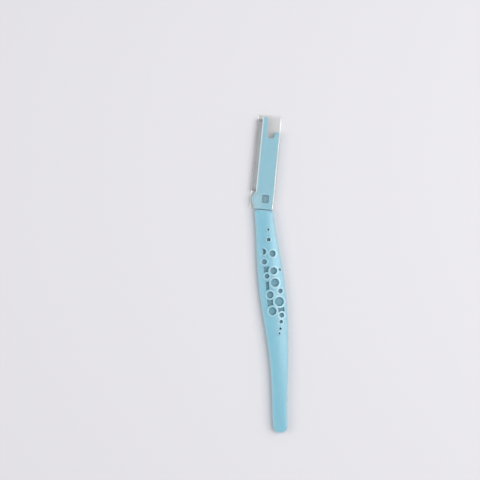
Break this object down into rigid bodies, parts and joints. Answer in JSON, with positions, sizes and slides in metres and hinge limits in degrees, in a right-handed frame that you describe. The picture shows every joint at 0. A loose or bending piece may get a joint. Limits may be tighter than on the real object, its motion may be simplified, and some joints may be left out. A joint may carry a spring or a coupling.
{
  "type": "eyebrow razor",
  "caption": "Slim moulded eyebrow razor with a grip of rimmed bubble recesses, an angled head that clamps a guarded steel blade, and a clear pull-off cap.",
  "frame": {"origin": "on the flat back of the handle, on its middle line, 30 mm from the end of the tail", "axes": "+X to the right seen from the front, +Y from the tail to the neck, +Z out of the front"},
  "size_m": [0.0205, 0.1588, 0.0055],
  "materials": {
    "handle": "satin light blue moulded plastic",
    "cover_plate": "satin light blue moulded plastic",
    "blade": "ground stainless steel",
    "safety_guard": "etched stainless steel",
    "blade_cap": "clear moulded plastic"
  },
  "bodies": {
    "razor": {"handle": "handle", "cover_plate": "cover_plate", "blade": "blade", "safety_guard": "safety_guard"},
    "cap": {"blade_cap": "blade_cap"}
  },
  "joints": [
    {"name": "cap_slide", "type": "slide", "parent": "razor", "child": "cap", "axis": [0.1736, 0.9848, 0], "range_m": [0, 0.05]}
  ]
}
